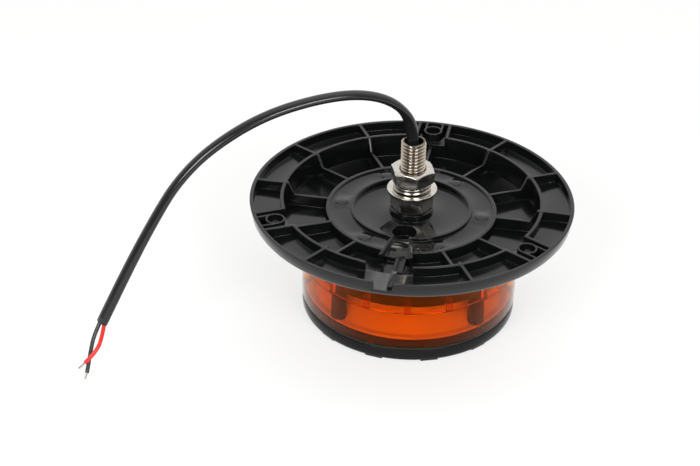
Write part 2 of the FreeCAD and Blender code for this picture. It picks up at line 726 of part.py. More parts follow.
def main():
    os.makedirs("parts", exist_ok=True)
    export("base", make_base())
    export("stud", make_stud())
    export("stud_gasket", make_stud_gasket())
    export("base_nut", make_base_nut())
    export("flat_washer", make_flat_washer())
    export("spring_washer", make_spring_washer())
    export("mounting_nut", make_mounting_nut())
    export("lens", make_lens())
    export("lens_gasket", make_lens_gasket())
    export("cap", make_cap())
    export("cap_gasket", make_cap_gasket())
    export("cap_screws", make_cap_screws())
    export("reflector", make_reflector())
    export("led_board", make_led_board())
    export("leds", make_leds())
    export("heat_plate", make_heat_plate())
    export("plate_screws", make_plate_screws())
    export("driver_board", make_driver_board())
    export("driver_screws", make_driver_screws())
    export("driver_chips", make_driver_chips())
    export("resistors", make_resistors())
    export("capacitors", make_capacitors())
    export("inductor", make_inductor())
    export("board_link", make_board_link())
    export("potting", make_potting())
    export("lead_red", make_inner_lead(1))
    export("lead_black", make_inner_lead(-1))
    export("cable", make_cable())
    export("core_red", make_core(1, CORE_RED_BENDS, "core_red"))
    export("core_black", make_core(-1, CORE_BLACK_BENDS, "core_black"))
    export("tip_red", make_tip(CORE_RED_BENDS[-1], TIP_RED_END))
    export("tip_black", make_tip(CORE_BLACK_BENDS[-1], TIP_BLACK_END))


main()
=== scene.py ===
import math

import bmesh
import bpy
from bpy.props import FloatProperty, FloatVectorProperty, IntProperty, PointerProperty, StringProperty
from mathutils import Matrix, Quaternion, Vector


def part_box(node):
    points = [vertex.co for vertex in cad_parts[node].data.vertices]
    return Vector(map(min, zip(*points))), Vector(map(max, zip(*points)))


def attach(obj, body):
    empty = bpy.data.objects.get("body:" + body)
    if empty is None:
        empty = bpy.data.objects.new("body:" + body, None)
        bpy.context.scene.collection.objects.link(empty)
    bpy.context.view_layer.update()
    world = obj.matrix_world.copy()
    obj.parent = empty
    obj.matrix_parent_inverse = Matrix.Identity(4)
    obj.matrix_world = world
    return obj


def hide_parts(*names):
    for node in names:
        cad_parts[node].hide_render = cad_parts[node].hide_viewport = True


bl_info = {
    "name": "LED warning beacon",
    "version": (1, 0, 0),
    "blender": (4, 5, 0),
    "location": "View3D > Sidebar > Beacon",
    "description": "Builds the looks of a low LED warning beacon around its packed CAD frame",
    "category": "Object",
}

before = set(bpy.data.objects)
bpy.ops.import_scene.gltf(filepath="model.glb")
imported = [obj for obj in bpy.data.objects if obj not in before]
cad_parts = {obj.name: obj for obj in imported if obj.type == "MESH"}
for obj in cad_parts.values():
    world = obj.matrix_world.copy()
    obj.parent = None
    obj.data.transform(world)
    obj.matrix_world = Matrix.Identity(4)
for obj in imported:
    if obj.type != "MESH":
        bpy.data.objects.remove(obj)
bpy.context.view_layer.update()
MM = 0.001
MERGE_DISTANCE = 0.5e-6
SENSOR_WIDTH = 36.0
TABLE_REACH = 3.0

# cable route as distance out from the stud axis and height, in metres
CABLE_ROUTE = (
    (0.0, 0.082),
    (0.0002, 0.098),
    (0.0089, 0.1116),
    (0.0256, 0.119),
    (0.0475, 0.1198),
    (0.0743, 0.115),
    (0.0986, 0.1026),
    (0.114, 0.0884),
    (0.1244, 0.0726),
    (0.139, 0.047),
    (0.1528, 0.020),
)
CABLE_AZIMUTH = 210.73

# stripped cores, from just inside the jacket to the end of their insulation, and their bare ends
CORE_RED = (
    (-0.13019, -0.07739, 0.02044),
    (-0.1296, -0.0831, 0.0167),
    (-0.1298, -0.0908, 0.0130),
    (-0.1351, -0.0936, 0.0076),
)
TIP_RED_END = (-0.1378, -0.0949, 0.0049)
CORE_BLACK = (
    (-0.13172, -0.07830, 0.02135),
    (-0.1339, -0.0828, 0.0158),
    (-0.1341, -0.0880, 0.0105),
    (-0.1339, -0.0953, 0.0032),
)
TIP_BLACK_END = (-0.1342, -0.0977, 0.0014)

# tinned strands of one core, in millimetres, degrees for their twist
STRANDS = 7
STRAND_RADIUS = 0.15
STRAND_LAY = 0.29
STRAND_SUNK = 0.5
STRAND_TWIST = 150

# stud, in millimetres: radii of its bore, shank and inner flange, and where its thread starts
STUD_BORE = 4.6
STUD_SHANK = 6.0
STUD_FLANGE = 9.6
STUD_FLANGE_THICK = 2.0
THREAD_FOOT = 55.6
THREAD_CHAMFER = 0.45
# radii between which the stud's colour goes from darkest, as painted shade deep in the thread's groove,
# to its own colour on the crest
THREAD_SHADE_FULL = 5.1
THREAD_SHADE_GONE = 5.7

# lens, in millimetres: wall, then the bead inside it and the clips that rise from the bead
LENS_WALL = 2.5
LENS_EDGE = 0.45
BEAD_LOW = 26.4
BEAD_HIGH = 27.0
BEAD_REACH = 0.7
CLIPS = 16
CLIP_FIRST_DEGREES = 8.4
CLIP_WIDE = 3.2
CLIP_TOP = 36.5
CLIP_REACH = 1.05
CLIP_GAP = 0.03
CLIP_EDGE = 0.3

# middle of the base that the tool's polished core leaves glossier, radius in millimetres
BASE_GLOSSY = 41.0


# ---------------------------------------------------------------- settings
def colour_property(name, description, hex_value):
    """A colour setting held as an sRGB hex word."""
    return StringProperty(name=name, description=description, default=hex_value)


class BeaconColours(bpy.types.PropertyGroup):
    base_black: colour_property("Base", "Black moulded base plate", "#0D0E0E")
    cap_black: colour_property("Cap", "Black moulded cap", "#121211")
    amber: colour_property("Lens", "Amber of the lens", "#FF951C")
    amber_thin: colour_property("Lens clips", "Amber of the thin clips inside the lens", "#FFC76C")
    nickel: colour_property("Nickel", "Nickel plating of the nuts and washers", "#D3CEC6")
    stud_nickel: colour_property("Stud", "Thin nickel plating of the brass stud", "#CDBFAE")
    steel: colour_property("Steel", "Zinc-plated screws", "#C9CBCB")
    rubber: colour_property("Rubber", "Gaskets", "#1C1C1C")
    reflector_white: colour_property("Reflector", "White moulded reflector", "#FBF9F4")
    jacket_black: colour_property("Jacket", "Cable jacket", "#161616")
    core_red: colour_property("Red core", "Red core insulation", "#E62A1E")
    core_black: colour_property("Black core", "Black core insulation", "#151515")
    floor_white: colour_property("Floor", "Pale lit table that the beacon stands on", "#A9A9A8")


class BeaconSizes(bpy.types.PropertyGroup):
    cable_wide: FloatProperty(
        name="Cable width", description="Wide way across the flat cable", default=5.8 * MM,
        unit="LENGTH", precision=4)
    cable_thin: FloatProperty(
        name="Cable thickness", description="Thin way across the flat cable", default=4.3 * MM,
        unit="LENGTH", precision=4)
    core_diameter: FloatProperty(
        name="Core diameter", description="Across the insulation of one core", default=1.9 * MM,
        unit="LENGTH", precision=4)
    thread_pitch: FloatProperty(
        name="Thread pitch", description="Rise of the stud's thread in one turn", default=1.75 * MM,
        unit="LENGTH", precision=5)
    thread_radius: FloatProperty(
        name="Thread radius", description="Outside radius of the stud's thread", default=5.9 * MM,
        unit="LENGTH", precision=5)
    thread_root: FloatProperty(
        name="Thread root", description="Radius at the bottom of the thread", default=5.05 * MM,
        unit="LENGTH", precision=5)
    moulding_edge: FloatProperty(
        name="Moulding edge", description="Rounding of the moulded edges", default=0.16 * MM,
        unit="LENGTH", precision=5)
    hardware_edge: FloatProperty(
        name="Hardware edge", description="Rounding of the nuts and washers", default=0.22 * MM,
        unit="LENGTH", precision=5)
    facets: IntProperty(
        name="Facets", description="Facets in one turn of the lens", default=128)


class BeaconStudio(bpy.types.PropertyGroup):
    camera_place: FloatVectorProperty(
        name="Camera", description="Where the camera stands", default=(0.09338, -0.64970, 0.44843),
        subtype="TRANSLATION")
    camera_look: FloatVectorProperty(
        name="Look", description="The way the camera looks", default=(-0.1579, 0.8332, -0.5299),
        subtype="DIRECTION")
    camera_roll: FloatProperty(
        name="Roll", description="Turn of the camera about its own line of sight",
        default=math.radians(0.97), subtype="ANGLE")
    camera_lens: FloatProperty(
        name="Lens", description="Focal length in millimetres on a 36 mm wide sensor", default=81.9)
    sky_front: FloatProperty(
        name="Front", description="Strength of the surround on the camera's side", default=0.24)
    sky_back: FloatProperty(
        name="Back", description="Strength of the surround behind the beacon", default=1.05)
    floor_glow: FloatProperty(
        name="Floor glow", description="Light that the lit table itself gives", default=0.6)
    overhead_power: FloatProperty(
        name="Overhead", description="Power of the overhead softbox", default=1.2, unit="POWER")
    front_power: FloatProperty(
        name="Front lamps", description="Power of each of the two softboxes in front", default=6.4,
        unit="POWER")


# ---------------------------------------------------------------- small tools
def linear(hex_value):
    """Linear colour of an sRGB hex word."""
    out = []
    for i in (1, 3, 5):
        c = int(hex_value[i:i + 2], 16) / 255
        out.append(c / 12.92 if c <= 0.04045 else ((c + 0.055) / 1.055) ** 2.4)
    return (*out, 1.0)


def add(tree, kind, sockets=None, **settings):
    """A node with its settings, and with its sockets set or linked."""
    node = tree.nodes.new(kind)
    for key, value in settings.items():
        setattr(node, key, value)
    for key, value in (sockets or {}).items():
        if isinstance(value, bpy.types.NodeSocket):
            tree.links.new(value, node.inputs[key])
        else:
            node.inputs[key].default_value = value
    return node


def surface(name):
    """An empty node material; returns it with its tree, shader and object coordinates."""
    material = bpy.data.materials.new(name)
    material.use_nodes = True
    tree = material.node_tree
    tree.nodes.clear()
    shader = add(tree, "ShaderNodeBsdfPrincipled")
    add(tree, "ShaderNodeOutputMaterial", {"Surface": shader.outputs["BSDF"]})
    place = add(tree, "ShaderNodeTexCoord").outputs["Object"]
    return material, tree, shader, place


def per_metre(millimetres):
    """Scale of a noise whose features are about this large."""
    return 1.0 / (millimetres * MM)


def mottled(name, dark, light, patch_mm, rough, grain_mm, grain_depth_mm, **constants):
    """Two close shades in soft patches, a little uneven gloss and a fine surface grain."""
    material, tree, shader, place = surface(name)
    patches = add(tree, "ShaderNodeTexNoise", {
        "Vector": place, "Scale": per_metre(patch_mm), "Detail": 4.0})
    tint = add(tree, "ShaderNodeValToRGB", {"Fac": patches.outputs["Fac"]})
    tint.color_ramp.elements[0].color = linear(dark)
    tint.color_ramp.elements[1].color = linear(light)
    gloss = add(tree, "ShaderNodeMapRange", {
        "Value": patches.outputs["Fac"], "From Min": 0.3, "From Max": 0.7,
        "To Min": rough[0], "To Max": rough[1]})
    grain = add(tree, "ShaderNodeTexNoise", {
        "Vector": place, "Scale": per_metre(grain_mm), "Detail": 2.0})
    bump = add(tree, "ShaderNodeBump", {
        "Height": grain.outputs["Fac"], "Distance": grain_depth_mm * MM, "Strength": 0.6})
    tree.links.new(tint.outputs["Color"], shader.inputs["Base Color"])
    tree.links.new(gloss.outputs["Result"], shader.inputs["Roughness"])
    tree.links.new(bump.outputs["Normal"], shader.inputs["Normal"])
    for key, value in constants.items():
        shader.inputs[key.replace("_", " ")].default_value = value
    return material


def from_axis(tree, place):
    """Distance of each point from the beacon's axis."""
    flat = add(tree, "ShaderNodeVectorMath", {0: place, 1: (1.0, 1.0, 0.0)}, operation="MULTIPLY")
    across = add(tree, "ShaderNodeVectorMath", {0: flat.outputs[0]}, operation="LENGTH")
    return across.outputs["Value"]


def shade(hex_value, factor):
    """The same colour made darker or lighter."""
    parts = [int(hex_value[i:i + 2], 16) for i in (1, 3, 5)]
    parts = [max(0, min(255, round(c * factor))) for c in parts]
    return "#%02X%02X%02X" % tuple(parts)


def finished(bm, name, material, body, replaced, sharp=35.0):
    """The mesh as a piece of the beacon, riding on its body and standing for its CAD nodes."""
    mesh = bpy.data.meshes.new(name)
    bm.to_mesh(mesh)
    bm.free()
    mesh.shade_smooth()
    mesh.set_sharp_from_angle(angle=math.radians(sharp))
    mesh.materials.append(material)
    piece = bpy.data.objects.new(name, mesh)
    bpy.context.scene.collection.objects.link(piece)
    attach(piece, body)
    if replaced:
        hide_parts(*replaced)
    return piece


def recalculated(bm):
    """Doubles merged and every face turned outwards."""
    bmesh.ops.remove_doubles(bm, verts=bm.verts, dist=MERGE_DISTANCE)
    bmesh.ops.recalc_face_normals(bm, faces=bm.faces)


def round_edges(bm, width, segments=2, above=30.0):
    """Bevels the edges that turn by more than an angle."""
    turn = math.radians(above)
    edges = [e for e in bm.edges if len(e.link_faces) == 2 and e.calc_face_angle() > turn]
    bmesh.ops.bevel(
        bm, geom=edges, offset=width, offset_type="OFFSET", affect="EDGES",
        segments=segments, profile=0.5, material=-1, clamp_overlap=False)


def spun(outline, steps, bm=None):
    """Body of revolution about Z from a closed outline of (radius, height) in millimetres."""
    bm = bm or bmesh.new()
    verts = [bm.verts.new((r * MM, 0, z * MM)) for r, z in outline]
    edges = [bm.edges.new((a, b)) for a, b in zip(verts, verts[1:] + verts[:1])]
    bmesh.ops.spin(
        bm, geom=verts + edges, cent=(0, 0, 0), axis=(0, 0, 1), dvec=(0, 0, 0),
        angle=2 * math.pi, steps=steps, use_merge=True, use_duplicate=False)
    recalculated(bm)
    return bm


def rounded_copy(node, width, segments=2, above=30.0):
    """A merged copy of a CAD node's mesh with its edges rounded."""
    bm = bmesh.new()
    bm.from_mesh(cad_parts[node].data)
    bmesh.ops.remove_doubles(bm, verts=bm.verts, dist=MERGE_DISTANCE)
    bmesh.ops.dissolve_degenerate(bm, edges=bm.edges, dist=1e-6)
    bmesh.ops.dissolve_limit(
        bm, angle_limit=math.radians(0.3), verts=bm.verts, edges=bm.edges,
        use_dissolve_boundaries=False)
    round_edges(bm, width, segments, above)
    bmesh.ops.triangulate(bm, faces=[f for f in bm.faces if len(f.verts) > 4])
    return bm


def repaint(nodes, material):
    """Gives carried-over CAD nodes a material."""
    for name in nodes:
        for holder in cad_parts[name].material_slots:
            holder.material = material


def spline_points(route, resolution=16):
    """Points along the smooth line whose control points are the route."""
    curve = bpy.data.curves.new("line", "CURVE")
    curve.dimensions = "3D"
    spline = curve.splines.new("NURBS")
    spline.points.add(len(route) - 1)
    for point, place in zip(spline.points, route):
        point.co = (*place, 1.0)
    spline.order_u = 3
    spline.use_endpoint_u = True
    spline.resolution_u = resolution
    holder = bpy.data.objects.new("line", curve)
    bpy.context.scene.collection.objects.link(holder)
    depsgraph = bpy.context.evaluated_depsgraph_get()
    mesh = bpy.data.meshes.new_from_object(holder.evaluated_get(depsgraph))
    points = [v.co.copy() for v in mesh.vertices]
    bpy.data.objects.remove(holder)
    bpy.data.curves.remove(curve)
    bpy.data.meshes.remove(mesh)
    return points


def swept(points, wide, thin, across, twist, sides=28):
    """Tube along points. Its wide way starts along `across` and turns by twist(share of length)."""
    bm = bmesh.new()
    bmesh.ops.create_circle(bm, cap_ends=False, radius=1.0, segments=sides)
    ring = list(bm.edges)
    runs = [(b - a).length for a, b in zip(points, points[1:])]
    total = sum(runs)
    gone = 0.0
    last = Matrix.Identity(4)
    for i, here in enumerate(points):
        ahead = points[min(i + 1, len(points) - 1)] - points[max(i - 1, 0)]
        ahead.normalize()
        side = across - ahead * across.dot(ahead)
        side.normalize()
        side = Quaternion(ahead, twist(gone / total)) @ side
        up = ahead.cross(side)
        place = Matrix((
            (*(side * wide / 2), 0),
            (*(up * thin / 2), 0),
            (*ahead, 0),
            (*here, 1))).transposed()
        if i:
            grown = bmesh.ops.extrude_edge_only(bm, edges=ring)["geom"]
            ring = [g for g in grown if isinstance(g, bmesh.types.BMEdge)]
            verts = list(dict.fromkeys(v for e in ring for v in e.verts))
        else:
            verts = list(bm.verts)
        bmesh.ops.transform(bm, matrix=place @ last.inverted(), verts=verts)
        last = place
        if i < len(runs):
            gone += runs[i]
    bmesh.ops.holes_fill(bm, edges=[e for e in bm.edges if e.is_boundary], sides=0)
    bmesh.ops.recalc_face_normals(bm, faces=bm.faces)
    ends = [e for e in bm.edges if e.calc_face_angle(0.0) > math.radians(60)]
    bmesh.ops.bevel(
        bm, geom=ends, offset=min(wide, thin) * 0.08, offset_type="OFFSET", affect="EDGES",
        segments=2, profile=0.5, material=-1)
    return bm


# ---------------------------------------------------------------- materials
def moulded_black_abs(name, hex_value, glossy_mm=0.001, specular=0.38):
    """Black ABS, injection moulded against a polished tool: glossy, a little uneven, with faint flow
    waves and a fine grain that soften its highlights. It is glossiest within a radius."""
    material, tree, shader, place = surface(name)
    patches = add(tree, "ShaderNodeTexNoise", {
        "Vector": place, "Scale": per_metre(14.0), "Detail": 3.0})
    tint = add(tree, "ShaderNodeValToRGB", {"Fac": patches.outputs["Fac"]})
    tint.color_ramp.elements[0].color = linear(shade(hex_value, 0.86))
    tint.color_ramp.elements[1].color = linear(shade(hex_value, 1.16))
    gloss = add(tree, "ShaderNodeMapRange", {
        "Value": from_axis(tree, place), "From Min": glossy_mm * MM, "From Max": glossy_mm * 1.02 * MM,
        "To Min": 0.05, "To Max": 0.1})
    uneven = add(tree, "ShaderNodeMath", {
        0: patches.outputs["Fac"], 1: 0.08, 2: gloss.outputs["Result"]}, operation="MULTIPLY_ADD")
    grain = add(tree, "ShaderNodeTexNoise", {"Vector": place, "Scale": per_metre(0.5), "Detail": 2.0})
    flow = add(tree, "ShaderNodeTexNoise", {"Vector": place, "Scale": per_metre(30.0), "Detail": 1.0})
    heights = add(tree, "ShaderNodeMath", {
        0: flow.outputs["Fac"], 1: 6.0, 2: grain.outputs["Fac"]}, operation="MULTIPLY_ADD")
    bump = add(tree, "ShaderNodeBump", {
        "Height": heights.outputs[0], "Distance": 0.008 * MM, "Strength": 0.4})
    tree.links.new(tint.outputs["Color"], shader.inputs["Base Color"])
    tree.links.new(uneven.outputs[0], shader.inputs["Roughness"])
    tree.links.new(bump.outputs["Normal"], shader.inputs["Normal"])
    shader.inputs["IOR"].default_value = 1.5
    shader.inputs["Specular IOR Level"].default_value = specular
    return material


def nickel_plated_brass(name, hex_value, roughness=0.22, shaded_groove_mm=None):
    """Brass, turned and nickel plated: warm bright metal with faint tool marks round the axis. In a
    thread's groove, between two radii, the colour is darkened as painted shade."""
    material, tree, shader, place = surface(name)
    cloud = add(tree, "ShaderNodeTexNoise", {
        "Vector": place, "Scale": per_metre(4.0), "Detail": 5.0})
    tint = add(tree, "ShaderNodeValToRGB", {"Fac": cloud.outputs["Fac"]})
    tint.color_ramp.elements[0].color = linear(shade(hex_value, 0.84))
    tint.color_ramp.elements[1].color = linear(shade(hex_value, 1.05))
    colour = tint.outputs["Color"]
    # painted shade: the colour is darkened towards the bottom of the thread's groove
    if shaded_groove_mm:
        depth = add(tree, "ShaderNodeMapRange", {
            "Value": from_axis(tree, place),
            "From Min": shaded_groove_mm[0] * MM, "From Max": shaded_groove_mm[1] * MM,
            "To Min": 0.25, "To Max": 1.0})
        groove_shaded = add(tree, "ShaderNodeVectorMath", {
            0: colour, 1: depth.outputs["Result"]}, operation="MULTIPLY")
        colour = groove_shaded.outputs[0]
    gloss = add(tree, "ShaderNodeMapRange", {
        "Value": cloud.outputs["Fac"], "From Min": 0.3, "From Max": 0.7,
        "To Min": roughness * 0.85, "To Max": roughness * 1.15})
    stretched = add(tree, "ShaderNodeMapping", {"Vector": place, "Scale": (1.0, 1.0, 14.0)})
    marks = add(tree, "ShaderNodeTexNoise", {
        "Vector": stretched.outputs["Vector"], "Scale": per_metre(2.5), "Detail": 3.0})
    bump = add(tree, "ShaderNodeBump", {
        "Height": marks.outputs["Fac"], "Distance": 0.008 * MM, "Strength": 0.1})
    tree.links.new(colour, shader.inputs["Base Color"])
    tree.links.new(gloss.outputs["Result"], shader.inputs["Roughness"])
    tree.links.new(bump.outputs["Normal"], shader.inputs["Normal"])
    shader.inputs["Metallic"].default_value = 1.0
    return material


def amber_polycarbonate(name, hex_value):
    """Clear amber polycarbonate, moulded and polished: faint flow waves bend what is behind it."""
    material, tree, shader, place = surface(name)
    flow = add(tree, "ShaderNodeTexNoise", {"Vector": place, "Scale": per_metre(16.0), "Detail": 1.5})
    tint = add(tree, "ShaderNodeValToRGB", {"Fac": flow.outputs["Fac"]})
    tint.color_ramp.elements[0].color = linear(shade(hex_value, 0.97))
    tint.color_ramp.elements[1].color = linear(hex_value)
    bump = add(tree, "ShaderNodeBump", {
        "Height": flow.outputs["Fac"], "Distance": 0.05 * MM, "Strength": 0.25})
    tree.links.new(tint.outputs["Color"], shader.inputs["Base Color"])
    tree.links.new(bump.outputs["Normal"], shader.inputs["Normal"])
    shader.inputs["Roughness"].default_value = 0.03
    shader.inputs["IOR"].default_value = 1.38
    shader.inputs["Specular Tint"].default_value = linear(hex_value)
    shader.inputs["Transmission Weight"].default_value = 1.0
    return material


def brushed_aluminium(name):
    """Rolled aluminium sheet with fine lines along X."""
    material, tree, shader, place = surface(name)
    stretched = add(tree, "ShaderNodeMapping", {"Vector": place, "Scale": (0.05, 1.0, 1.0)})
    lines = add(tree, "ShaderNodeTexNoise", {
        "Vector": stretched.outputs["Vector"], "Scale": per_metre(0.4), "Detail": 3.0})
    tint = add(tree, "ShaderNodeValToRGB", {"Fac": lines.outputs["Fac"]})
    tint.color_ramp.elements[0].color = linear("#B9BBBD")
    tint.color_ramp.elements[1].color = linear("#DCDDDE")
    bump = add(tree, "ShaderNodeBump", {
        "Height": lines.outputs["Fac"], "Distance": 0.01 * MM, "Strength": 0.5})
    tree.links.new(tint.outputs["Color"], shader.inputs["Base Color"])
    tree.links.new(bump.outputs["Normal"], shader.inputs["Normal"])
    shader.inputs["Metallic"].default_value = 1.0
    shader.inputs["Roughness"].default_value = 0.36
    return material


def circuit_board(name, mask, copper):
    """Glass-epoxy board under printed solder mask: satin, with faint raised tracks."""
    material, tree, shader, place = surface(name)
    tracks = add(tree, "ShaderNodeTexBrick", {
        "Vector": place, "Scale": per_metre(12.0), "Mortar Size": 0.06, "Mortar Smooth": 0.2,
        "Brick Width": 0.9, "Row Height": 0.32,
        "Color1": linear(mask), "Color2": linear(shade(mask, 0.96)), "Mortar": linear(copper)})
    bump = add(tree, "ShaderNodeBump", {
        "Height": tracks.outputs["Fac"], "Distance": 0.035 * MM, "Strength": 0.6})
    tree.links.new(tracks.outputs["Color"], shader.inputs["Base Color"])
    tree.links.new(bump.outputs["Normal"], shader.inputs["Normal"])
    shader.inputs["Roughness"].default_value = 0.32
    return material


# ---------------------------------------------------------------- stage
class BEACON_OT_stage(bpy.types.Operator):
    """Camera, lit table and soft studio light"""
    bl_idname = "beacon.stage"
    bl_label = "Studio"

    def execute(self, context):
        scene = context.scene
        scene.view_settings.view_transform = "Standard"
        self.camera(scene)
        self.table(scene)
        self.surround(scene)
        self.softboxes(scene)
        return {"FINISHED"}

    def camera(self, scene):
        """The camera, from its place, its line of sight and its roll."""
        studio = scene.beacon_studio
        data = bpy.data.cameras.new("camera")
        data.sensor_width = SENSOR_WIDTH
        data.lens = studio.camera_lens
        data.clip_start = 0.01
        data.clip_end = 20.0
        camera = bpy.data.objects.new("camera", data)
        roll = Quaternion((0, 0, 1), studio.camera_roll)
        turn = Vector(studio.camera_look).to_track_quat("-Z", "Y") @ roll
        camera.matrix_world = Matrix.Translation(studio.camera_place) @ turn.to_matrix().to_4x4()
        scene.collection.objects.link(camera)
        scene.camera = camera

    def table(self, scene):
        """Opal acrylic table lit from below: matt white that gives light, so shadows stay faint."""
        white = scene.beacon_colours.floor_white
        bm = bmesh.new()
        bmesh.ops.create_grid(bm, x_segments=2, y_segments=2, size=TABLE_REACH)
        mesh = bpy.data.meshes.new("floor")
        bm.to_mesh(mesh)
        bm.free()
        floor = bpy.data.objects.new("floor", mesh)
        scene.collection.objects.link(floor)
        opal = mottled(
            "opal_acrylic_table", shade(white, 0.97), white, 90.0, (0.8, 0.9), 1.5, 0.02,
            Emission_Strength=scene.beacon_studio.floor_glow, Emission_Color=(1.0, 1.0, 1.0, 1.0))
        mesh.materials.append(opal)

    def surround(self, scene):
        """World that is dim on the camera's side, with a white wall behind the beacon."""
        studio = scene.beacon_studio
        world = bpy.data.worlds.new("surround")
        world.use_nodes = True
        tree = world.node_tree
        tree.nodes.clear()
        towards = add(tree, "ShaderNodeTexCoord").outputs["Generated"]
        apart = add(tree, "ShaderNodeSeparateXYZ", {"Vector": towards})
        wall = add(tree, "ShaderNodeMapRange", {
            "Value": apart.outputs["Y"], "From Min": -0.5, "From Max": 0.5,
            "To Min": studio.sky_front, "To Max": studio.sky_back}, interpolation_type="SMOOTHSTEP")
        back = add(tree, "ShaderNodeBackground", {
            "Color": (1.0, 1.0, 1.0, 1.0), "Strength": wall.outputs["Result"]})
        add(tree, "ShaderNodeOutputWorld", {"Surface": back.outputs["Background"]})
        scene.world = world

    def softboxes(self, scene):
        """Square softboxes: one overhead, and one on each side in front."""
        studio = scene.beacon_studio
        for name, place, aim, size, power in (
                ("overhead", (0.1, 0.35, 1.3), (0, 0, 0.05), 1.3, studio.overhead_power),
                ("front_left", (-0.33, -0.90, 0.64), (0, 0, 0.06), 0.45, studio.front_power),
                ("front_right", (0.57, -0.77, 0.64), (0, 0, 0.06), 0.45, studio.front_power)):
            light = bpy.data.lights.new(name, "AREA")
            light.shape = "SQUARE"
            light.size = size
            light.energy = power
            lamp = bpy.data.objects.new(name, light)
            turn = (Vector(aim) - Vector(place)).to_track_quat("-Z", "Y")
            lamp.matrix_world = Matrix.Translation(place) @ turn.to_matrix().to_4x4()
            scene.collection.objects.link(lamp)


# ---------------------------------------------------------------- cable
def smooth(t):
    """Smooth step from 0 to 1."""
    t = max(0.0, min(1.0, t))
    return t * t * (3 - 2 * t)


def cable_twist(share):
    """Turn of the flat cable: on edge at the stud, flat over the arch, partly turned at its end."""
    on_edge = 90.0 * (1 - smooth((share - 0.03) / 0.12))
    leaning = -32.0 * smooth((share - 0.6) / 0.4)
    return math.radians(on_edge + leaning)


def no_twist(share):
    """A round core looks the same however it turns."""
    return 0.0


class BEACON_OT_cable(bpy.types.Operator):
    """Flat two-core cable with its stripped cores and tinned ends"""
    bl_idname = "beacon.cable"
    bl_label = "Cable"

    def execute(self, context):
        sizes = context.scene.beacon_sizes
        colours = context.scene.beacon_colours
        # soft PVC, extruded: satin black with long faint die lines and handling marks
        black = colours.jacket_black
        jacket = mottled(
            "extruded_black_pvc", shade(black, 0.85), shade(black, 1.25), 9.0, (0.14, 0.22), 0.7, 0.006)
        # PVC core insulation, extruded: smooth, a little duller than the jacket
        red = colours.core_red
        red_pvc = mottled("red_pvc_insulation", shade(red, 0.9), red, 5.0, (0.28, 0.38), 0.5, 0.01)
        black = colours.core_black
        black_pvc = mottled(
            "black_pvc_insulation", shade(black, 0.85), shade(black, 1.2), 5.0, (0.26, 0.36), 0.5, 0.01)
        # tinned copper strands: dull silver
        tinned = mottled(
            "tinned_copper", "#A9A59C", "#CFCBC2", 0.6, (0.28, 0.42), 0.2, 0.01, Metallic=1.0)

        turn = math.radians(CABLE_AZIMUTH)
        route = [(out * math.cos(turn), out * math.sin(turn), z) for out, z in CABLE_ROUTE]
        line = spline_points(route)
        across = Vector((-math.sin(turn), math.cos(turn), 0.0))
        bm = swept(line, sizes.cable_wide, sizes.cable_thin, across, cable_twist, 32)
        cable = finished(bm, "flat_cable", jacket, "beacon", ["cable"])

        size = sizes.core_diameter
        for name, points, end, cover in (
                ("red", CORE_RED, TIP_RED_END, red_pvc),
                ("black", CORE_BLACK, TIP_BLACK_END, black_pvc)):
            bm = swept(spline_points(points, 12), size, size, Vector((1, 0, 0)), no_twist, 24)
            finished(
                bm, "insulated_core_" + name, cover, "beacon", ["core_" + name])
            bm = self.strands(Vector(points[-1]), Vector(end))
            finished(
                bm, "strands_" + name, tinned, "beacon", ["tip_" + name])
        return {"FINISHED"}

    def strands(self, start, end):
        """Twisted strands, one in the middle, from inside the insulation to the bare end."""
        way = end - start
        length = way.length + STRAND_SUNK * MM
        steps = 14
        bm = bmesh.new()
        for i in range(STRANDS):
            out = STRAND_LAY * MM if i else 0.0
            circle = bmesh.ops.create_circle(
                bm, cap_ends=False, radius=STRAND_RADIUS * MM, segments=8)["verts"]
            angle = 2 * math.pi * i / (STRANDS - 1)
            bmesh.ops.translate(
                bm, vec=(out * math.cos(angle), out * math.sin(angle), 0), verts=circle)
            loop = [e for e in bm.edges if e.verts[0] in circle and e.verts[1] in circle]
            bmesh.ops.spin(
                bm, geom=circle + loop, cent=(0, 0, 0), axis=(0, 0, 1), dvec=(0, 0, length / steps),
                angle=math.radians(STRAND_TWIST), steps=steps, use_merge=False, use_duplicate=False)
        bmesh.ops.holes_fill(bm, edges=[e for e in bm.edges if e.is_boundary], sides=0)
        bmesh.ops.recalc_face_normals(bm, faces=bm.faces)
        inside = Matrix.Translation(start - way.normalized() * STRAND_SUNK * MM)
        place = inside @ way.to_track_quat("Z", "Y").to_matrix().to_4x4()
        bmesh.ops.transform(bm, matrix=place, verts=bm.verts)
        return bm


# ---------------------------------------------------------------- base
class BEACON_OT_base(bpy.types.Operator):
    """Ribbed base plate with its bosses, cable channel, skirt and posts"""
    bl_idname = "beacon.base"
    bl_label = "Base plate"

    def execute(self, context):
        sizes = context.scene.beacon_sizes
        colours = context.scene.beacon_colours
        black = moulded_black_abs("moulded_black_abs", colours.base_black, BASE_GLOSSY)
        bm = rounded_copy("base", sizes.moulding_edge, 2)
        finished(bm, "base_plate", black, "beacon", ["base"])
        return {"FINISHED"}


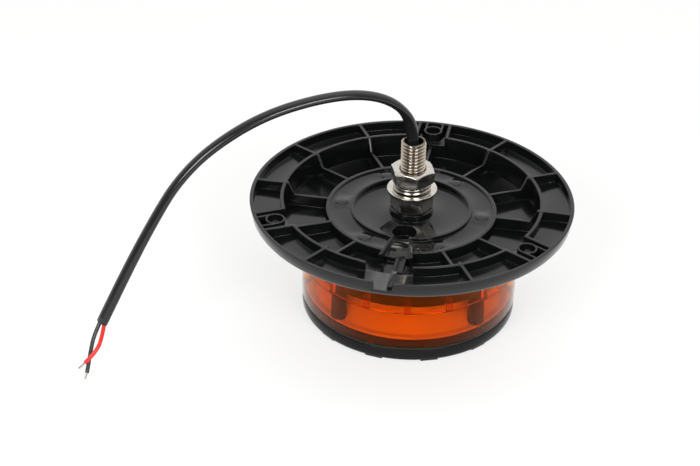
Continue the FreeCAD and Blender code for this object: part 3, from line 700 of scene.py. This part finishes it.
# ---------------------------------------------------------------- stud and hardware
class BEACON_OT_stud(bpy.types.Operator):
    """Hollow threaded stud and the nut that holds it to the base"""
    bl_idname = "beacon.stud"
    bl_label = "Stud"

    def execute(self, context):
        sizes = context.scene.beacon_sizes
        colours = context.scene.beacon_colours
        # the stud's thread gets painted shade in its grooves
        thin = nickel_plated_brass(
            "thinly_plated_brass_groove_shaded", colours.stud_nickel, 0.13, (THREAD_SHADE_FULL, THREAD_SHADE_GONE))
        finished(self.thread(sizes), "threaded_stud", thin, "beacon", ["stud"], 50.0)
        nickel = nickel_plated_brass("nickel_plated_brass", colours.nickel)
        bm = rounded_copy("base_nut", sizes.hardware_edge, 3)
        finished(bm, "stud_nut", nickel, "beacon", ["base_nut"])
        # EPDM gasket under the stud's flange
        rubber = mottled("moulded_epdm", "#171717", "#222222", 6.0, (0.6, 0.75), 0.3, 0.02)
        repaint(["stud_gasket"], rubber)
        # polyurethane potting that closes the bore round the cable
        resin = mottled("cast_polyurethane", "#0E0E0E", "#171717", 3.0, (0.2, 0.35), 0.8, 0.05)
        repaint(["potting"], resin)
        return {"FINISHED"}

    def thread(self, sizes):
        """A true helical thread above a plain shank and flange, with a bore through."""
        low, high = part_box("stud")
        top, foot, bore = high.z, THREAD_FOOT * MM, STUD_BORE * MM
        pitch, outside, root = sizes.thread_pitch, sizes.thread_radius, sizes.thread_root
        steps = 64
        turns = math.ceil((top - foot) / pitch) + 3
        # outline of one turn as (share of the pitch, share of the depth)
        outline = (
            (0.0, 0.9), (0.05, 0.985), (0.1, 1.0), (0.15, 0.985), (0.2, 0.9),
            (0.47, 0.07), (0.53, 0.0), (0.59, 0.0), (0.65, 0.07), (1.0, 0.9))
        # the helix runs past both ends, and is then cut off square
        bm = bmesh.new()
        start = foot - 1.2 * pitch
        verts = [bm.verts.new((root + (outside - root) * h, 0, start + pitch * t)) for t, h in outline]
        edges = [bm.edges.new(pair) for pair in zip(verts, verts[1:])]
        bmesh.ops.spin(
            bm, geom=verts + edges, cent=(0, 0, 0), axis=(0, 0, 1), dvec=(0, 0, pitch / steps),
            angle=2 * math.pi * turns, steps=steps * turns, use_merge=False, use_duplicate=False)
        bmesh.ops.remove_doubles(bm, verts=bm.verts, dist=2 * MERGE_DISTANCE)
        for height, normal in ((top, 1), (foot, -1)):
            bmesh.ops.bisect_plane(
                bm, geom=bm.verts[:] + bm.edges[:] + bm.faces[:], dist=1e-7,
                plane_co=(0, 0, height), plane_no=(0, 0, normal), clear_outer=True)
        # chamfer at the top: cut round at its foot, then drawn in towards the end
        chamfered = top - THREAD_CHAMFER * MM
        bmesh.ops.bisect_plane(
            bm, geom=bm.verts[:] + bm.edges[:] + bm.faces[:], dist=1e-7,
            plane_co=(0, 0, chamfered), plane_no=(0, 0, 1))
        for v in bm.verts:
            limit = outside - max(0.0, v.co.z - chamfered)
            across = math.hypot(v.co.x, v.co.y)
            if across > limit:
                v.co.x *= limit / across
                v.co.y *= limit / across
        # end faces, then the wall of the bore
        rims = [e for e in bm.edges if e.is_boundary]
        for height in (top, foot):
            rim = [e for e in rims if abs(e.verts[0].co.z - height) < 1e-6]
            hole = bmesh.ops.create_circle(bm, cap_ends=False, radius=bore, segments=steps)["verts"]
            bmesh.ops.translate(bm, vec=(0, 0, height), verts=hole)
            loop = list(dict.fromkeys(e for v in hole for e in v.link_edges))
            bmesh.ops.bridge_loops(bm, edges=rim + loop)
        bmesh.ops.bridge_loops(bm, edges=[e for e in bm.edges if e.is_boundary])
        recalculated(bm)
        bottom = low.z / MM
        ledge = bottom + STUD_FLANGE_THICK
        return spun([
            (STUD_BORE, bottom), (STUD_FLANGE, bottom), (STUD_FLANGE, ledge),
            (STUD_SHANK, ledge), (STUD_SHANK, THREAD_FOOT), (STUD_BORE, THREAD_FOOT)], steps, bm)


class BEACON_OT_hardware(bpy.types.Operator):
    """Mounting nut with its flat and spring washers"""
    bl_idname = "beacon.hardware"
    bl_label = "Nut and washers"

    def execute(self, context):
        sizes = context.scene.beacon_sizes
        colours = context.scene.beacon_colours
        nickel = nickel_plated_brass("nickel_plated_nut", colours.nickel)
        plated = nickel_plated_brass("nickel_plated_steel", shade(colours.nickel, 1.03))
        bm = rounded_copy("mounting_nut", sizes.hardware_edge, 3)
        finished(bm, "hex_nut", nickel, "nut", ["mounting_nut"])
        bm = rounded_copy("flat_washer", sizes.hardware_edge * 1.4, 3)
        finished(bm, "plain_washer", plated, "washers", ["flat_washer"])
        bm = rounded_copy("spring_washer", sizes.hardware_edge * 1.2, 3)
        finished(bm, "split_washer", plated, "washers", ["spring_washer"])
        return {"FINISHED"}


# ---------------------------------------------------------------- lens and cap
class BEACON_OT_lens(bpy.types.Operator):
    """Amber lens ring and its gaskets"""
    bl_idname = "beacon.lens"
    bl_label = "Lens"

    def execute(self, context):
        colours = context.scene.beacon_colours
        low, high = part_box("lens")
        outer, foot, top = (v / MM for v in (high.x, low.z, high.z))
        inner = outer - LENS_WALL
        bm = spun([
            (inner, foot), (outer, foot), (outer, top), (inner, top),
            (inner, BEAD_HIGH), (inner - BEAD_REACH, BEAD_HIGH),
            (inner - BEAD_REACH, BEAD_LOW), (inner, BEAD_LOW)], context.scene.beacon_sizes.facets)
        # the ring's rims are rounded, the bead's are left sharp
        rims = [e for e in bm.edges if e.calc_face_angle(0.0) > math.radians(30)
                and all(abs(v.co.z - z * MM) > 1e-5 for v in e.verts for z in (BEAD_LOW, BEAD_HIGH))]
        bmesh.ops.bevel(
            bm, geom=rims, offset=LENS_EDGE * MM, offset_type="OFFSET", affect="EDGES",
            segments=3, profile=0.5, material=-1)
        amber = amber_polycarbonate("amber_polycarbonate", colours.amber)
        finished(bm, "amber_lens_ring", amber, "beacon", ["lens"])
        # the clips are under half as thick as the ring, so their amber is paler
        thin = amber_polycarbonate("thin_amber_polycarbonate", colours.amber_thin)
        finished(self.clips(inner), "lens_clips", thin, "beacon", [])
        # silicone sealing rings, moulded, matt
        rubber = mottled(
            "moulded_silicone", shade(colours.rubber, 0.85), shade(colours.rubber, 1.2), 6.0,
            (0.55, 0.7), 0.3, 0.02)
        repaint(["lens_gasket", "cap_gasket"], rubber)
        return {"FINISHED"}

    def clips(self, inner):
        """Clips that rise from the bead inside the ring into the slots of the base's skirt."""
        out = inner - CLIP_GAP - CLIP_REACH / 2
        middle = Vector((out, 0, (BEAD_LOW + CLIP_TOP) / 2)) * MM
        size = Vector((CLIP_REACH, CLIP_WIDE, CLIP_TOP - BEAD_LOW)) * MM
        bm = bmesh.new()
        for i in range(CLIPS):
            part = bmesh.ops.create_cube(bm, size=1.0)["verts"]
            turn = Matrix.Rotation(math.radians(CLIP_FIRST_DEGREES + 360 / CLIPS * i), 4, "Z")
            place = turn @ Matrix.Translation(middle) @ Matrix.Diagonal((*size, 1.0))
            bmesh.ops.transform(bm, matrix=place, verts=part)
            edges = list(dict.fromkeys(e for v in part for e in v.link_edges))
            bmesh.ops.bevel(
                bm, geom=edges, offset=CLIP_EDGE * MM, offset_type="OFFSET", affect="EDGES",
                segments=2, profile=0.5, material=-1)
        return bm


class BEACON_OT_cap(bpy.types.Operator):
    """Black cap that the beacon stands on, with its pads and screws"""
    bl_idname = "beacon.cap"
    bl_label = "Cap"

    def execute(self, context):
        sizes = context.scene.beacon_sizes
        colours = context.scene.beacon_colours
        black = moulded_black_abs("moulded_black_cap", colours.cap_black, specular=0.16)
        bm = rounded_copy("cap", sizes.moulding_edge * 1.4, 2)
        finished(bm, "padded_cap", black, "beacon", ["cap"])
        # zinc-plated steel screws, rolled
        zinc = mottled(
            "zinc_plated_steel", shade(colours.steel, 0.9), colours.steel, 2.0, (0.25, 0.4), 0.3, 0.01,
            Metallic=1.0)
        repaint(["cap_screws", "plate_screws", "driver_screws"], zinc)
        return {"FINISHED"}


# ---------------------------------------------------------------- light unit
class BEACON_OT_light_unit(bpy.types.Operator):
    """White reflector, LED board with its LEDs, and heat plate"""
    bl_idname = "beacon.light_unit"
    bl_label = "Light unit"

    def execute(self, context):
        # white ABS, moulded against a polished tool: satin
        pale = context.scene.beacon_colours.reflector_white
        white = mottled("moulded_white_abs", shade(pale, 0.97), pale, 18.0, (0.28, 0.38), 0.6, 0.01)
        repaint(["reflector"], white)
        repaint(["led_board"], circuit_board("white_solder_mask", "#ECECE6", "#D9D8CF"))
        # LED packages: PPA housing under a silicone dome tinted by phosphor
        led = mottled("phosphor_silicone", "#E9B53C", "#F4D98A", 1.2, (0.15, 0.25), 0.4, 0.01)
        repaint(["leds"], led)
        repaint(["heat_plate"], brushed_aluminium("rolled_aluminium"))
        return {"FINISHED"}


class BEACON_OT_driver(bpy.types.Operator):
    """Driver board with its parts and leads"""
    bl_idname = "beacon.driver"
    bl_label = "Driver board"

    def execute(self, context):
        repaint(["driver_board"], circuit_board("green_solder_mask", "#0F5A2C", "#2C7D45"))
        # epoxy moulding compound: dark grey, matt, fine filler grain
        epoxy = mottled("epoxy_moulding_compound", "#1A1A1B", "#27272A", 1.5, (0.5, 0.62), 0.15, 0.01)
        repaint(["driver_chips", "resistors", "board_link"], epoxy)
        # drawn aluminium cans
        can = mottled(
            "drawn_aluminium_can", "#B5B8BC", "#D4D6D8", 2.0, (0.25, 0.38), 0.3, 0.01, Metallic=1.0)
        repaint(["capacitors"], can)
        # sintered ferrite
        ferrite = mottled("sintered_ferrite", "#3A3A3C", "#4A4A4E", 1.2, (0.5, 0.66), 0.2, 0.02)
        repaint(["inductor"], ferrite)
        # PVC lead insulation
        for name, dark, light in (("red", "#A8120D", "#C81A12"), ("black", "#121212", "#1C1C1C")):
            pvc = mottled(name + "_lead_pvc", dark, light, 3.0, (0.3, 0.4), 0.5, 0.01)
            repaint(["lead_" + name], pvc)
        return {"FINISHED"}


# ---------------------------------------------------------------- panel
OPERATORS = (
    BEACON_OT_stage,
    BEACON_OT_cable,
    BEACON_OT_base,
    BEACON_OT_stud,
    BEACON_OT_hardware,
    BEACON_OT_lens,
    BEACON_OT_cap,
    BEACON_OT_light_unit,
    BEACON_OT_driver,
)


class BEACON_PT_panel(bpy.types.Panel):
    """Settings and build steps of the beacon"""
    bl_label = "LED warning beacon"
    bl_idname = "BEACON_PT_panel"
    bl_space_type = "VIEW_3D"
    bl_region_type = "UI"
    bl_category = "Beacon"

    def draw(self, context):
        scene = context.scene
        for settings in (scene.beacon_sizes, scene.beacon_colours, scene.beacon_studio):
            box = self.layout.box()
            for name in settings.__annotations__:
                box.prop(settings, name)
        for operator in OPERATORS:
            self.layout.operator(operator.bl_idname)


CLASSES = (BeaconColours, BeaconSizes, BeaconStudio, *OPERATORS, BEACON_PT_panel)


def register():
    for cls in CLASSES:
        bpy.utils.register_class(cls)
    bpy.types.Scene.beacon_colours = PointerProperty(type=BeaconColours)
    bpy.types.Scene.beacon_sizes = PointerProperty(type=BeaconSizes)
    bpy.types.Scene.beacon_studio = PointerProperty(type=BeaconStudio)


def unregister():
    del bpy.types.Scene.beacon_studio
    del bpy.types.Scene.beacon_sizes
    del bpy.types.Scene.beacon_colours
    for cls in reversed(CLASSES):
        bpy.utils.unregister_class(cls)


def main():
    register()
    bpy.ops.beacon.stage()
    bpy.ops.beacon.cable()
    bpy.ops.beacon.base()
    bpy.ops.beacon.stud()
    bpy.ops.beacon.hardware()
    bpy.ops.beacon.lens()
    bpy.ops.beacon.cap()
    bpy.ops.beacon.light_unit()
    bpy.ops.beacon.driver()


if __name__ == "__main__":
    main()
